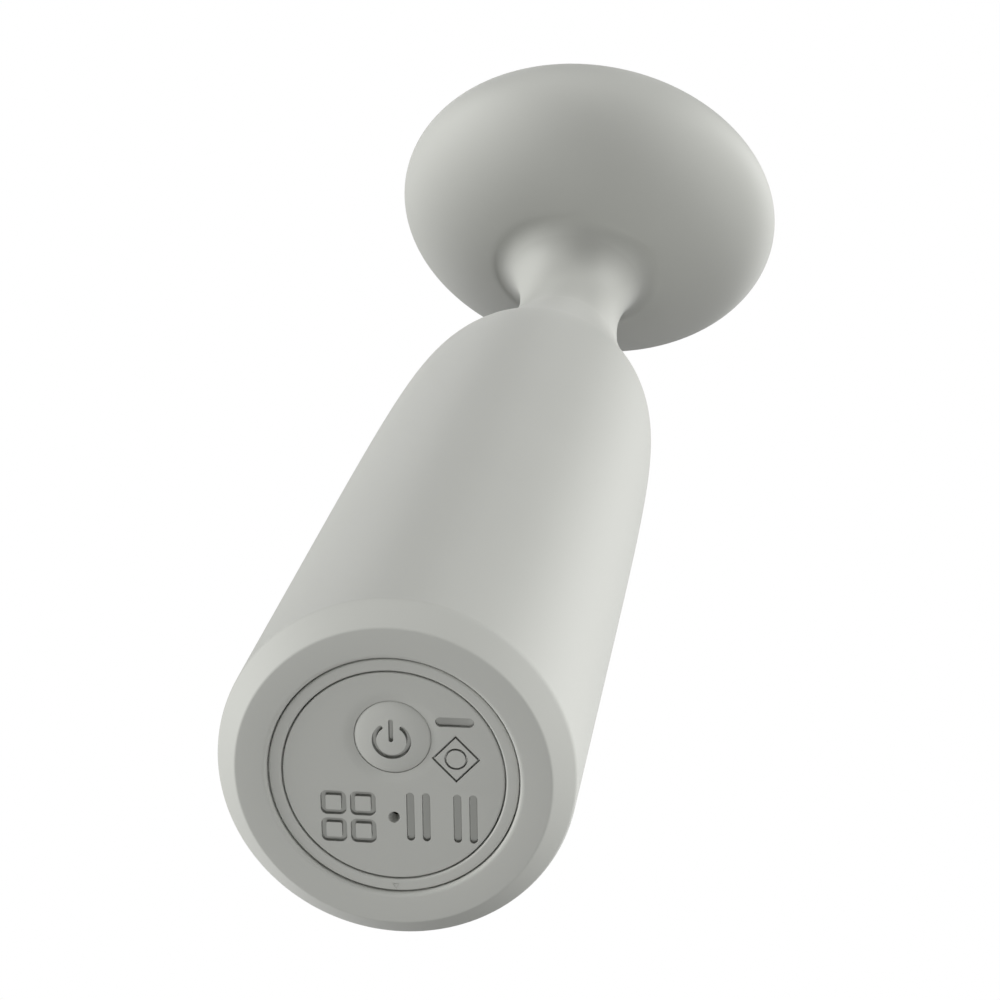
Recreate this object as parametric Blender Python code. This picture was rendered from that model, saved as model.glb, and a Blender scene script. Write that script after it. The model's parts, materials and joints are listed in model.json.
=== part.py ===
"""Handheld wand massager: silicone-skinned handle, flexible bent neck and a flattened vibrating head.

Frame: the origin is the centre of the flat foot, +Z runs up the handle and the head leans towards -Y.
Heights along the wand are distances along its centre line, which is straight up to BEND_START and then
turns by BEND_ANGLE. Metres throughout; MM turns millimetres into metres.
"""

import math

import bmesh
import bpy
import numpy as np
from mathutils import Matrix, Vector

MM = 0.001
GAP = 0.3 * MM

# Outer skin
WALL_RADIUS = 18.3 * MM
FOOT_RADIUS = 16.05 * MM
FOOT_HOLE_RADIUS = 12.75 * MM
CHAMFER_HEIGHT = 2.2 * MM
WALL_TOP = 51.0 * MM
INFLECTION = (14.94 * MM, 124.0 * MM)
WAIST = (7.8 * MM, 164.5 * MM)
SHOULDER_PULLS = ((WALL_RADIUS, 110.6 * MM), (17.44 * MM, 115.0 * MM))
NECK_PULLS = ((13.34 * MM, 129.8 * MM), (WAIST[0], 156.0 * MM))
SKIN_THICKNESS = 1.9 * MM

# Centre line of the neck
BEND_START = 150.0 * MM
BEND_LENGTH = 23.0 * MM
BEND_ANGLE = math.radians(34.0)

# Head: a flattened ball round the end of the centre line
HEAD_RADIUS = 30.0 * MM
HEAD_HALF_THICKNESS = 14.3 * MM
HEAD_CENTRE = BEND_START + BEND_LENGTH + HEAD_HALF_THICKNESS
FLARE_RADIUS = 13.4 * MM
FLARE_PULLS = (4.5 * MM, 4.0 * MM)
COVER_THICKNESS = 2.0 * MM
SHELL_OUTER = (27.7 * MM, 12.0 * MM)
SHELL_INNER = (26.1 * MM, 10.4 * MM)
SHELL_SCREW_RING = 20.5 * MM
SHELL_SCREW_ANGLES = (90.0, 210.0, 330.0)
SHELL_SCREW_SEAT = 2.6 * MM

# Neck joints: pitch in the bend plane at the lower pivot, sway across it at the upper pivot
LOWER_PIVOT = 152.0 * MM
UPPER_PIVOT = 168.0 * MM
LOWER_SPLIT = 156.0 * MM
UPPER_SPLIT = 164.0 * MM
SPLIT_GAP = 0.4 * MM

# Handle housing
HOUSING_OFFSET = 2.3 * MM
HOUSING_THICKNESS = 1.6 * MM
HOUSING_FOOT = 2.5 * MM
HOUSING_TOP = 148.0 * MM
HOUSING_RIBS = (40.0 * MM, 77.0 * MM)
RIB_WIDTH = 1.6 * MM
BOSS_Y = 10.6 * MM
BOSS_HEIGHTS = (20.0 * MM, 98.0 * MM)
BOSS_RADIUS = 2.4 * MM
BOSS_REACH = 8.0 * MM
BOSS_SEAT = 5.6 * MM
LEAD_WAY = ((9.0 * MM, -1.8 * MM, 36.0 * MM), (13.9 * MM, 1.8 * MM, 81.0 * MM))

# Battery: an 18650 cell
CELL_RADIUS = 9.2 * MM
CELL_LENGTH = 65.0 * MM
CELL_FOOT = 26.0 * MM
TAB_THICKNESS = 0.3 * MM
PAD_THICKNESS = 2.0 * MM
BATTERY_WIRE = 0.6 * MM
MOTOR_WIRE = 0.7 * MM

# End cap, pad, button and charging port; the cap is turned a little from the bend plane
CAP_CLOCK = math.radians(-6.0)
CAP_RING = (11.45 * MM, 12.5 * MM)
CAP_RIM = 0.35 * MM
CAP_RECESS = 0.45 * MM
CAP_FLOOR = (2.3 * MM, 3.6 * MM)
CAP_SKIRT_RADIUS = 14.0 * MM
CAP_SKIRT_TOP = 8.0 * MM
GASKET_HEIGHT = 5.45 * MM
GASKET_RING = 13.45 * MM
GASKET_WIRE = 0.62 * MM
BUTTON_Y = -4.2 * MM
BUTTON_RADIUS = 3.8 * MM
BUTTON_BACK = 1.6 * MM
PORT_Y = 4.5 * MM
PORT_RADIUS = 0.5 * MM
BOARD_FOOT = 7.5 * MM
BOARD_THICKNESS = 1.2 * MM
BOARD_TOP = BOARD_FOOT + BOARD_THICKNESS
PLUG_HEIGHT = 3.4 * MM
BOARD_POST_ANGLES = (0.0, 135.0, 225.0)
BOARD_POST_RADIUS = 8.7 * MM

# Small screws
SCREW_RADIUS = 0.75 * MM
SCREW_HOLE = 1.05 * MM
SCREW_HEAD = 1.4 * MM
SCREW_HEAD_HOLE = 1.75 * MM

# Motor, in the head's own frame: its shaft runs along X
MOTOR_LIFT = 0.9 * MM
MOTOR_RADIUS = 8.0 * MM
MOTOR_BACK = -12.0 * MM
MOTOR_FRONT = 10.0 * MM
SHAFT_RADIUS = 1.0 * MM
WEIGHT_RADIUS = 6.2 * MM
WEIGHT_SPAN = (12.0 * MM, 17.0 * MM)
CLAMP_POST_Y = 11.4 * MM

SKIN_SIDES = 32
ROUND_SIDES = 24
SHELL_SIDES = 24
SMALL_SIDES = 8

FINISHES = {
    "silicone": ((0.62, 0.62, 0.60), 0.55, 0.0),
    "cap_abs": ((0.55, 0.55, 0.53), 0.45, 0.0),
    "housing_abs": ((0.80, 0.79, 0.76), 0.5, 0.0),
    "black_plastic": ((0.03, 0.03, 0.03), 0.5, 0.0),
    "board": ((0.05, 0.22, 0.12), 0.5, 0.0),
    "steel": ((0.62, 0.62, 0.64), 0.3, 1.0),
    "brass": ((0.78, 0.60, 0.30), 0.3, 1.0),
    "nickel": ((0.72, 0.71, 0.68), 0.25, 1.0),
    "cell_wrap": ((0.10, 0.28, 0.55), 0.35, 0.0),
    "foam": ((0.12, 0.12, 0.12), 0.95, 0.0),
    "red_lead": ((0.60, 0.05, 0.04), 0.45, 0.0),
    "black_lead": ((0.04, 0.04, 0.04), 0.45, 0.0),
    "rubber": ((0.05, 0.05, 0.05), 0.8, 0.0),
    "lamp": ((0.95, 0.95, 0.92), 0.1, 0.0),
    "tungsten": ((0.45, 0.44, 0.43), 0.4, 1.0),
    "magnet": ((0.18, 0.18, 0.19), 0.5, 1.0),
}

ALONG_X = Matrix.Rotation(math.pi / 2, 4, "Y")
CAP_PLACE = Matrix.Rotation(CAP_CLOCK, 4, "Z")


# Centre line and outline


def spine_frame(height):
    """The centre line's place and direction at a distance from the foot."""
    turn = min(max(height - BEND_START, 0.0) / BEND_LENGTH, 1.0) * BEND_ANGLE
    radius = BEND_LENGTH / BEND_ANGLE
    across = -radius * (1.0 - math.cos(turn))
    up = min(height, BEND_START) + radius * math.sin(turn)
    beyond = max(height - BEND_START - BEND_LENGTH, 0.0)
    bend = Matrix.Translation((0.0, across, up)) @ Matrix.Rotation(turn, 4, "X")
    return bend @ Matrix.Translation((0.0, 0.0, beyond))


HEAD_PLACE = spine_frame(HEAD_CENTRE)


def bezier(start, pull_a, pull_b, end, count):
    """Points of a cubic curve, without its first point."""
    steps = np.linspace(0.0, 1.0, count + 1)[1:, None]
    rest = 1.0 - steps
    curve = rest**3 * np.array(start) + 3 * rest**2 * steps * np.array(pull_a)
    return curve + 3 * rest * steps**2 * np.array(pull_b) + steps**3 * np.array(end)


def flare_end():
    """Height of the soft crease where the neck's flare meets the head's flattened ball."""
    return HEAD_CENTRE - HEAD_HALF_THICKNESS * math.sqrt(1.0 - (FLARE_RADIUS / HEAD_RADIUS) ** 2)


def skin_outline():
    """Radius and height of the skin from the straight wall to the head."""
    top = flare_end()
    wall = np.array([[WALL_RADIUS, CHAMFER_HEIGHT], [WALL_RADIUS, WALL_TOP]])
    shoulder = bezier(wall[1], *SHOULDER_PULLS, INFLECTION, 40)
    neck = bezier(INFLECTION, *NECK_PULLS, WAIST, 40)
    up, back = FLARE_PULLS
    flare = bezier(WAIST, (WAIST[0], WAIST[1] + up), (FLARE_RADIUS - back, top), (FLARE_RADIUS, top), 24)
    return np.vstack([wall, shoulder, neck, flare])


OUTLINE = skin_outline()


def skin_radius(height):
    return float(np.interp(height, OUTLINE[:, 1], OUTLINE[:, 0]))


def skin_inside(height):
    return skin_radius(height) - SKIN_THICKNESS


# Mesh building


def circle(radius, height, sides):
    """A ring of points round Z, or one point where the radius is nothing."""
    if radius < 1e-7:
        return [Vector((0.0, 0.0, height))]
    turns = [2.0 * math.pi * i / sides for i in range(sides)]
    return [Vector((radius * math.cos(a), radius * math.sin(a), height)) for a in turns]


def on_spine(ring):
    """A ring whose points' z is a distance along the centre line, moved to its place on that line."""
    return [spine_frame(point.z) @ Vector((point.x, point.y, 0.0)) for point in ring]


def join_rings(bm, lower, upper):
    count = max(len(lower), len(upper))
    for i in range(count if count > 1 else 0):
        j = (i + 1) % count
        low = (lower[i % len(lower)], lower[j % len(lower)])
        high = (upper[j % len(upper)], upper[i % len(upper)])
        bm.faces.new(list(dict.fromkeys(low + high)))


def add_rings(bm, rings):
    """A closed solid through rings in order; it closes on itself unless it starts at a point."""
    loops = [[bm.verts.new(point) for point in ring] for ring in rings]
    for lower, upper in zip(loops, loops[1:]):
        join_rings(bm, lower, upper)
    if len(loops[0]) > 1:
        join_rings(bm, loops[-1], loops[0])
    return bm


def turned(outline, sides=ROUND_SIDES, bm=None):
    """A solid turned round Z from a closed outline of radius and height."""
    return add_rings(bm or bmesh.new(), [circle(r, z, sides) for r, z in outline])


def rod(radius, low, high, sides=SMALL_SIDES, bm=None, centre=(0.0, 0.0)):
    """A plain round bar along Z."""
    shape = turned([(0.0, low), (radius, low), (radius, high), (0.0, high)], sides)
    shape.transform(Matrix.Translation((centre[0], centre[1], 0.0)))
    return gather([shape], bm)


def pipe(inner, outer, low, high, sides=ROUND_SIDES):
    return turned([(inner, low), (outer, low), (outer, high), (inner, high)], sides)


def block(low, high, bm=None):
    """A box between two corners."""
    size = [b - a for a, b in zip(low, high)]
    middle = [(a + b) / 2 for a, b in zip(low, high)]
    shape = bmesh.new()
    place = Matrix.Translation(middle) @ Matrix.Diagonal((*size, 1.0))
    bmesh.ops.create_cube(shape, size=1.0, matrix=place)
    return gather([shape], bm)


def sector(outline, start, sweep, steps):
    """A closed outline of radius and height spun through part of a turn, with flat ends."""
    bm = bmesh.new()
    turn = Matrix.Rotation(start, 4, "Z")
    corners = [bm.verts.new(turn @ Vector((r, 0.0, z))) for r, z in outline]
    face = bm.faces.new(corners)
    geometry = [face, *face.edges, *face.verts]
    bmesh.ops.spin(bm, geom=geometry, cent=(0, 0, 0), axis=(0, 0, 1), angle=sweep, steps=steps)
    return bm


def gather(shapes, bm=None):
    """Several solids in one mesh."""
    bm = bm or bmesh.new()
    for shape in shapes:
        mesh = bpy.data.meshes.new("gathered")
        shape.to_mesh(mesh)
        shape.free()
        bm.from_mesh(mesh)
        bpy.data.meshes.remove(mesh)
    return bm


def moved(bm, matrix):
    bm.transform(matrix)
    return bm


def ring_places(radius, angles):
    """Places round Z at a radius, at angles in degrees."""
    turns = [math.radians(angle) for angle in angles]
    return [Matrix.Translation((radius * math.cos(a), radius * math.sin(a), 0.0)) for a in turns]


def copies(make, places):
    """The same solid at several places, in one mesh."""
    return gather([moved(make(), place) for place in places])


# Objects


def finish_material(name, finish):
    colour, roughness, metallic = FINISHES[finish]
    material = bpy.data.materials.new(name)
    material.use_nodes = True
    shader = material.node_tree.nodes["Principled BSDF"]
    shader.inputs["Base Color"].default_value = (*colour, 1.0)
    shader.inputs["Roughness"].default_value = roughness
    shader.inputs["Metallic"].default_value = metallic
    return material


JOINT_PLACES = {}


def place_object(obj, place, joint):
    """Put an object at its place in the row's frame, under its joint's empty."""
    bpy.context.scene.collection.objects.link(obj)
    obj.matrix_basis = place
    if joint:
        obj.parent = joint
        obj.matrix_parent_inverse = JOINT_PLACES[joint.name].inverted()
    return obj


def joint_empty(name, place, joint=None):
    """An empty on a joint's axis, which the moving pieces are parented to."""
    JOINT_PLACES[name] = place
    return place_object(bpy.data.objects.new(name, None), place, joint)


def make_object(name, bm):
    bmesh.ops.recalc_face_normals(bm, faces=bm.faces)
    mesh = bpy.data.meshes.new(name)
    bm.to_mesh(mesh)
    bm.free()
    mesh.shade_smooth()
    mesh.set_sharp_from_angle(angle=math.radians(35.0))
    return bpy.data.objects.new(name, mesh)


def piece(name, bm, finish, joint=None, place=Matrix()):
    """A named sub-part with its own material. Its mesh is given in the frame of its place."""
    obj = make_object(name, bm)
    obj.data.materials.append(finish_material(name, finish))
    return place_object(obj, place, joint)


def repeated(name, make, finish, places, joint=None, base=Matrix()):
    """The same sub-part at several places, each copy its own object."""
    for number, place in enumerate(places, 1):
        piece(f"{name}_{number}", make(), finish, joint, base @ place)


def helper(name, bm, place=Matrix()):
    """A shape that only cuts or joins another piece."""
    obj = place_object(make_object(name, bm), place, None)
    obj.hide_render = True
    obj.display_type = "WIRE"
    return obj


def combine(obj, tool, operation, solver="EXACT"):
    modifier = obj.modifiers.new(tool.name, "BOOLEAN")
    modifier.operation = operation
    modifier.solver = solver
    modifier.object = tool


def smooth_path(points, per_span=3):
    """A smooth curve through points, by Catmull and Rom's rule."""
    knots = [Vector(p) for p in points]
    knots = [2 * knots[0] - knots[1], *knots, 2 * knots[-1] - knots[-2]]
    path = []
    for a, b, c, d in zip(knots, knots[1:], knots[2:], knots[3:]):
        for step in range(per_span):
            t = step / per_span
            bend = (2 * a - 5 * b + 4 * c - d) * t**2 + (3 * b - 3 * c + d - a) * t**3
            path.append(0.5 * (2 * b + (c - a) * t + bend))
    return [*path, knots[-2]]


def lead(name, route, radius, finish, joint=None):
    """An insulated wire along a smooth route."""
    curve = bpy.data.curves.new(name, "CURVE")
    curve.dimensions = "3D"
    curve.bevel_depth = radius
    curve.bevel_resolution = 2
    curve.use_fill_caps = True
    path = smooth_path(route)
    spline = curve.splines.new("POLY")
    spline.points.add(len(path) - 1)
    for target, point in zip(spline.points, path):
        target.co = (*point, 1.0)
    curve.materials.append(finish_material(name, finish))
    return place_object(bpy.data.objects.new(name, curve), Matrix(), joint)


def screw(length):
    """A pan-head screw along -Z with its head's underside at the origin."""
    top = 1.1 * MM
    outline = [(0.0, -length), (SCREW_RADIUS, -length + 0.5 * MM), (SCREW_RADIUS, 0.0)]
    outline += [(SCREW_HEAD, 0.0), (SCREW_HEAD, top - 0.3 * MM)]
    outline += [(SCREW_HEAD - 0.4 * MM, top), (0.0, top)]
    return turned(outline, SMALL_SIDES)


# Skin


def ball_edge(radius_at, pivot, ball, low, high):
    """Ring where a skin surface meets a ball round a pivot, so that the skins slide past each other."""
    ring = []
    for i in range(SKIN_SIDES):
        angle = 2.0 * math.pi * i / SKIN_SIDES
        side = Vector((math.cos(angle), math.sin(angle), 0.0))

        def inside(height):
            return (spine_frame(height) @ (side * radius_at(height)) - pivot).length < ball

        near, far = low, high
        starts_inside = inside(low)
        for _ in range(40):
            middle = (near + far) / 2
            if inside(middle) == starts_inside:
                near = middle
            else:
                far = middle
        ring.append(side * radius_at(near) + Vector((0.0, 0.0, near)))
    return ring


def blend_rings(radius_at, start, end, count):
    """Rings on a skin surface spread evenly between two uneven edge rings, both included."""
    rings = []
    for k in range(count + 1):
        t = k / count
        ring = []
        for a, b in zip(start, end):
            height = a.z + (b.z - a.z) * t
            side = Vector((a.x, a.y, 0.0)).normalized()
            ring.append(side * radius_at(height) + Vector((0.0, 0.0, height)))
        rings.append(ring)
    return rings


def ball_radius(pivot_height, split_height):
    """Distance from a pivot to the skin where it is split, at the side of the neck."""
    edge = spine_frame(split_height) @ Vector((skin_radius(split_height), 0.0, 0.0))
    return (edge - spine_frame(pivot_height).translation).length


def split_edges(pivot_height, split_height, extra):
    """Outer and inner edge rings of the skin at one neck joint."""
    pivot = spine_frame(pivot_height).translation
    ball = ball_radius(pivot_height, split_height) + extra
    far = pivot_height + 3.0 * (split_height - pivot_height)
    surfaces = (skin_radius, skin_inside)
    return [ball_edge(radius_at, pivot, ball, pivot_height, far) for radius_at in surfaces]


def skin_solid(rings):
    return add_rings(bmesh.new(), [on_spine(ring) for ring in rings])


def handle_sleeve():
    """Skin of the handle, from the foot's ring to the lower neck joint."""
    heights = [CHAMFER_HEIGHT, WALL_TOP, 80 * MM, 97 * MM, 106 * MM, 112 * MM, 117 * MM]
    heights += [122 * MM, 127 * MM, 132 * MM, 138 * MM, 144 * MM]
    outer_edge, inner_edge = split_edges(LOWER_PIVOT, LOWER_SPLIT, 0.0)
    lip = 0.3 * MM
    foot = [(FOOT_HOLE_RADIUS, lip), (FOOT_HOLE_RADIUS + lip, 0.0), (FOOT_RADIUS, 0.0)]
    rings = [circle(r, z, SKIN_SIDES) for r, z in foot]
    rings += [circle(skin_radius(h), h, SKIN_SIDES) for h in heights]
    top = circle(skin_radius(BEND_START), BEND_START, SKIN_SIDES)
    rings += blend_rings(skin_radius, top, outer_edge, 2)
    top = circle(skin_inside(BEND_START), BEND_START, SKIN_SIDES)
    rings += blend_rings(skin_inside, inner_edge, top, 2)
    rings += [circle(skin_inside(h), h, SKIN_SIDES) for h in reversed(heights)]
    rings.append(circle(FOOT_HOLE_RADIUS, CHAMFER_HEIGHT, SKIN_SIDES))
    piece("handle_sleeve", skin_solid(rings), "silicone")


def neck_sleeve(joint):
    """Skin of the neck between its two joints."""
    low_outer, low_inner = split_edges(LOWER_PIVOT, LOWER_SPLIT, SPLIT_GAP)
    high_outer, high_inner = split_edges(UPPER_PIVOT, UPPER_SPLIT, SPLIT_GAP)
    rings = blend_rings(skin_radius, low_outer, high_outer, 3)
    rings += blend_rings(skin_inside, high_inner, low_inner, 3)
    piece("neck_sleeve", skin_solid(rings), "silicone", joint)


def ball_rings(radius, half, start_radius, count):
    """Rings of a flattened ball from its underside, where it has a start radius, to its top point."""
    start = math.asin(start_radius / radius)
    turns = np.linspace(start, math.pi, count)
    return [circle(radius * math.sin(a), HEAD_CENTRE - half * math.cos(a), SKIN_SIDES) for a in turns]


def head_cover(joint):
    """Skin of the head: the neck's flare and the flattened ball, hollow over the head's shells."""
    outer_edge, inner_edge = split_edges(UPPER_PIVOT, UPPER_SPLIT, 0.0)
    heights = (170 * MM, 171.8 * MM, 173.1 * MM, 173.9 * MM, 174.3 * MM)
    flare = [circle(skin_radius(h), h, SKIN_SIDES) for h in heights]
    start = circle(skin_radius(UPPER_PIVOT), UPPER_PIVOT, SKIN_SIDES)
    rings = blend_rings(skin_radius, outer_edge, start, 2) + flare
    rings += ball_rings(HEAD_RADIUS, HEAD_HALF_THICKNESS, FLARE_RADIUS, 17)
    inner_radius = HEAD_RADIUS - COVER_THICKNESS
    inner_half = HEAD_HALF_THICKNESS - COVER_THICKNESS
    rings += reversed(ball_rings(inner_radius, inner_half, 8.0 * MM, 13))
    rings.append(circle(6.5 * MM, 173.5 * MM, SKIN_SIDES))
    bore = circle(skin_inside(UPPER_PIVOT), UPPER_PIVOT, SKIN_SIDES)
    rings += blend_rings(skin_inside, bore, inner_edge, 1)
    piece("head_cover", skin_solid(rings), "silicone", joint)


# Handle housing


def housing_outline():
    """Section of the handle housing: its wall follows the skin, and ribs hold the battery."""
    heights = [HOUSING_FOOT, WALL_TOP, 80 * MM, 100 * MM, 110 * MM, 118 * MM]
    heights += [125 * MM, 132 * MM, 140 * MM, HOUSING_TOP]
    outline = [(skin_radius(h) - HOUSING_OFFSET, h) for h in heights]
    inner = [(skin_radius(h) - HOUSING_OFFSET - HOUSING_THICKNESS, h) for h in heights]
    wall = inner[0][0]
    ribs = []
    for height in HOUSING_RIBS:
        low, high = height - RIB_WIDTH / 2, height + RIB_WIDTH / 2
        tip = CELL_RADIUS + GAP
        ribs += [(wall, low), (tip, low), (tip, high), (wall, high)]
    lower, upper = inner[:1], inner[3:]
    return outline + list(reversed(lower + ribs + upper))


def housing_half(name, side):
    """One half of the housing, on the +X side for side 1 or the -X side for side -1."""
    start = -math.pi / 2 if side > 0 else math.pi / 2
    half = piece(name, sector(housing_outline(), start, math.pi, 14), "housing_abs")
    half.location.x = side * GAP / 2
    bosses = []
    holes = []
    for height in BOSS_HEIGHTS:
        for y in (-BOSS_Y, BOSS_Y):
            place = Matrix.Translation((0.0, y, height)) @ Matrix.Rotation(side * math.pi / 2, 4, "Y")
            bosses.append(moved(rod(BOSS_RADIUS, GAP / 2, BOSS_REACH), place))
            hole = stepped_hole(BOSS_SEAT) if side > 0 else rod(SCREW_HOLE, -MM, 6.0 * MM)
            holes.append(moved(hole, place))
    combine(half, helper(name + "_bosses", gather(bosses)), "UNION", "MANIFOLD")
    combine(half, helper(name + "_holes", gather(holes)), "DIFFERENCE", "MANIFOLD")
    low, high = LEAD_WAY
    lead_way = block((side * low[0], *low[1:]), (side * high[0], *high[1:]))
    combine(half, helper(name + "_lead_way", lead_way), "DIFFERENCE", "MANIFOLD")


def stepped_hole(seat):
    """Clearance hole with a wider bore for the screw's head beyond its seat."""
    top = seat + 12.0 * MM
    outline = [(0.0, -MM), (SCREW_HOLE, -MM), (SCREW_HOLE, seat)]
    outline += [(SCREW_HEAD_HOLE, seat), (SCREW_HEAD_HOLE, top), (0.0, top)]
    return turned(outline, SMALL_SIDES)


def housing():
    housing_half("housing_right", 1)
    housing_half("housing_left", -1)
    spots = [(BOSS_SEAT + GAP, y, height) for height in BOSS_HEIGHTS for y in (-BOSS_Y, BOSS_Y)]
    places = [Matrix.Translation(spot) @ ALONG_X for spot in spots]
    repeated("housing_screw", lambda: screw(10.5 * MM), "steel", places)


# End cap, button and board


def end_cap():
    """Cap that carries the board; its rim is the hard ring between the foot's two grooves."""
    cap = piece("end_cap", turned(cap_outline()), "cap_abs", None, CAP_PLACE)
    floor, ceiling = CAP_FLOOR
    posts = copies(lambda: rod(1.8 * MM, ceiling - 0.5 * MM, BOARD_FOOT - GAP), board_posts())
    combine(cap, helper("end_cap_posts", posts, CAP_PLACE), "UNION")
    holes = copies(lambda: rod(SCREW_HOLE, ceiling + 0.2 * MM, BOARD_TOP), board_posts())
    rod(1.7 * MM, floor - MM, ceiling + MM, SMALL_SIDES, holes, (0.0, BUTTON_Y))
    rod(2.4 * MM, floor - MM, ceiling + MM, SMALL_SIDES, holes, (0.0, PORT_Y))
    combine(cap, helper("end_cap_holes", holes, CAP_PLACE), "DIFFERENCE")


def cap_outline():
    """Section of the cap: rim, floor, and a skirt with the gasket's groove."""
    inner, outer = CAP_RING
    floor, ceiling = CAP_FLOOR
    edge = 0.15 * MM
    bevel = 0.25 * MM
    hollow = 11.3 * MM
    groove_low, groove_high = GASKET_HEIGHT - 0.95 * MM, GASKET_HEIGHT + 0.95 * MM
    outline = [(0.0, floor), (inner, floor), (inner, CAP_RIM + edge), (inner + bevel, CAP_RIM)]
    outline += [(outer - bevel, CAP_RIM), (outer, CAP_RIM + edge), (outer, HOUSING_FOOT)]
    outline += [(CAP_SKIRT_RADIUS, HOUSING_FOOT), (CAP_SKIRT_RADIUS, groove_low), (outer, groove_low)]
    outline += [(outer, groove_high), (CAP_SKIRT_RADIUS, groove_high), (CAP_SKIRT_RADIUS, CAP_SKIRT_TOP)]
    return outline + [(hollow, CAP_SKIRT_TOP), (hollow, ceiling), (0.0, ceiling)]


def gasket():
    """Seal ring in the cap's groove."""
    section = circle(GASKET_WIRE, 0.0, 8)
    outline = [(GASKET_RING + point.x, GASKET_HEIGHT + point.y) for point in section]
    piece("cap_gasket", turned(outline), "rubber")


def board_posts():
    return ring_places(BOARD_POST_RADIUS, BOARD_POST_ANGLES)


def base_pad():
    """Soft disc that carries the button's opening and the charging port's pin-hole."""
    radius = CAP_RING[0] - GAP
    disc = rod(radius, CAP_RECESS, CAP_FLOOR[0] - GAP, ROUND_SIDES)
    pad = piece("base_pad", disc, "silicone", None, CAP_PLACE)
    holes = rod(BUTTON_RADIUS + GAP, -MM, 4.0 * MM, ROUND_SIDES, None, (0.0, BUTTON_Y))
    rod(PORT_RADIUS, -MM, 4.0 * MM, SMALL_SIDES, holes, (0.0, PORT_Y))
    combine(pad, helper("base_pad_holes", holes, CAP_PLACE), "DIFFERENCE")


def power_button(joint, switch_joint):
    """Domed button, the post behind it, and the switch plunger that the post presses."""
    at_button = CAP_PLACE @ Matrix.Translation((0.0, BUTTON_Y, 0.0))
    dome = [(0.0, 0.05 * MM), (1.9 * MM, 0.12 * MM), (3.1 * MM, 0.36 * MM), (BUTTON_RADIUS, 0.75 * MM)]
    dome += [(BUTTON_RADIUS, BUTTON_BACK), (0.0, BUTTON_BACK)]
    piece("power_button", turned(dome), "silicone", joint, at_button)
    post = rod(1.3 * MM, BUTTON_BACK + GAP, 4.4 * MM)
    piece("button_post", post, "housing_abs", joint, at_button)
    plunger = rod(0.9 * MM, 4.4 * MM + GAP, 6.2 * MM)
    piece("tact_plunger", plunger, "black_plastic", switch_joint, at_button)


def board():
    """Round control board, its parts, and the charging socket behind the pin-hole."""
    disc = rod(10.9 * MM, BOARD_FOOT, BOARD_TOP, ROUND_SIDES)
    disc = piece("control_board", disc, "board", None, CAP_PLACE)
    holes = copies(lambda: rod(SCREW_HOLE, BOARD_FOOT - MM, BOARD_TOP + MM), board_posts())
    combine(disc, helper("control_board_holes", holes, CAP_PLACE), "DIFFERENCE")
    top = BOARD_TOP + GAP
    seats = [place @ Matrix.Translation((0.0, 0.0, top)) for place in board_posts()]
    repeated("board_screw", lambda: screw(4.5 * MM), "steel", seats, None, CAP_PLACE)
    board_parts(top)
    under_board_parts(BOARD_FOOT - GAP)


def board_parts(top):
    """Parts on the board's upper face."""
    chip = block((-4.5 * MM, -6.5 * MM, top), (-0.5 * MM, -2.5 * MM, top + 0.9 * MM))
    piece("control_chip", chip, "black_plastic", None, CAP_PLACE)
    coil = block((1.0 * MM, -7.5 * MM, top), (4.2 * MM, -4.3 * MM, top + 1.6 * MM))
    piece("charge_inductor", coil, "magnet", None, CAP_PLACE)
    plug = block((-3.0 * MM, 4.2 * MM, top), (3.0 * MM, 8.6 * MM, top + PLUG_HEIGHT))
    piece("battery_connector", plug, "lamp", None, CAP_PLACE)


def under_board_parts(top):
    """Lamp, switch and charging socket on the board's lower face."""
    lamp = block((4.6 * MM, -6.6 * MM, 6.6 * MM), (6.2 * MM, -5.8 * MM, top))
    piece("status_led", lamp, "lamp", None, CAP_PLACE)
    half = 2.25 * MM
    body = block((-half, BUTTON_Y - half, 5.4 * MM), (half, BUTTON_Y + half, top))
    switch = piece("tact_switch", body, "black_plastic", None, CAP_PLACE)
    well = rod(1.2 * MM, 5.0 * MM, 6.9 * MM, SMALL_SIDES, None, (0.0, BUTTON_Y))
    combine(switch, helper("tact_switch_well", well, CAP_PLACE), "DIFFERENCE")
    at_port = CAP_PLACE @ Matrix.Translation((0.0, PORT_Y, 0.0))
    mouth = 2.6 * MM
    back = top - 0.6 * MM
    outer, bore = 2.05 * MM, 1.3 * MM
    barrel = [(0.0, top), (outer, top), (outer, mouth), (bore, mouth), (bore, back), (0.0, back)]
    piece("charge_socket", turned(barrel, 16), "black_plastic", None, at_port)
    piece("charge_contact", rod(0.8 * MM, 4.9 * MM, back - GAP), "brass", None, at_port)


# Battery and leads


def battery():
    """The cell, its nickel tabs and the foam pads that hold it endwise."""
    top = CELL_FOOT + CELL_LENGTH
    edge = 0.8 * MM
    outline = [(0.0, CELL_FOOT), (CELL_RADIUS - edge, CELL_FOOT), (CELL_RADIUS, CELL_FOOT + edge)]
    outline += [(CELL_RADIUS, top - edge), (CELL_RADIUS - edge, top), (0.0, top)]
    piece("battery_cell", turned(outline), "cell_wrap")
    half_width, half_length = 2.5 * MM, 6.0 * MM
    pad_bore, pad_radius = 4.2 * MM, 8.6 * MM
    for name, near, way in (("lower", CELL_FOOT, -1), ("upper", top, 1)):
        low, high = sorted((near + way * GAP, near + way * (GAP + TAB_THICKNESS)))
        tab = block((-half_width, -half_length, low), (half_width, half_length, high))
        piece("battery_tab_" + name, tab, "nickel")
        near += way * (2 * GAP + TAB_THICKNESS)
        low, high = sorted((near, near + way * PAD_THICKNESS))
        piece("battery_pad_" + name, pipe(pad_bore, pad_radius, low, high, 20), "foam")


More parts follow.
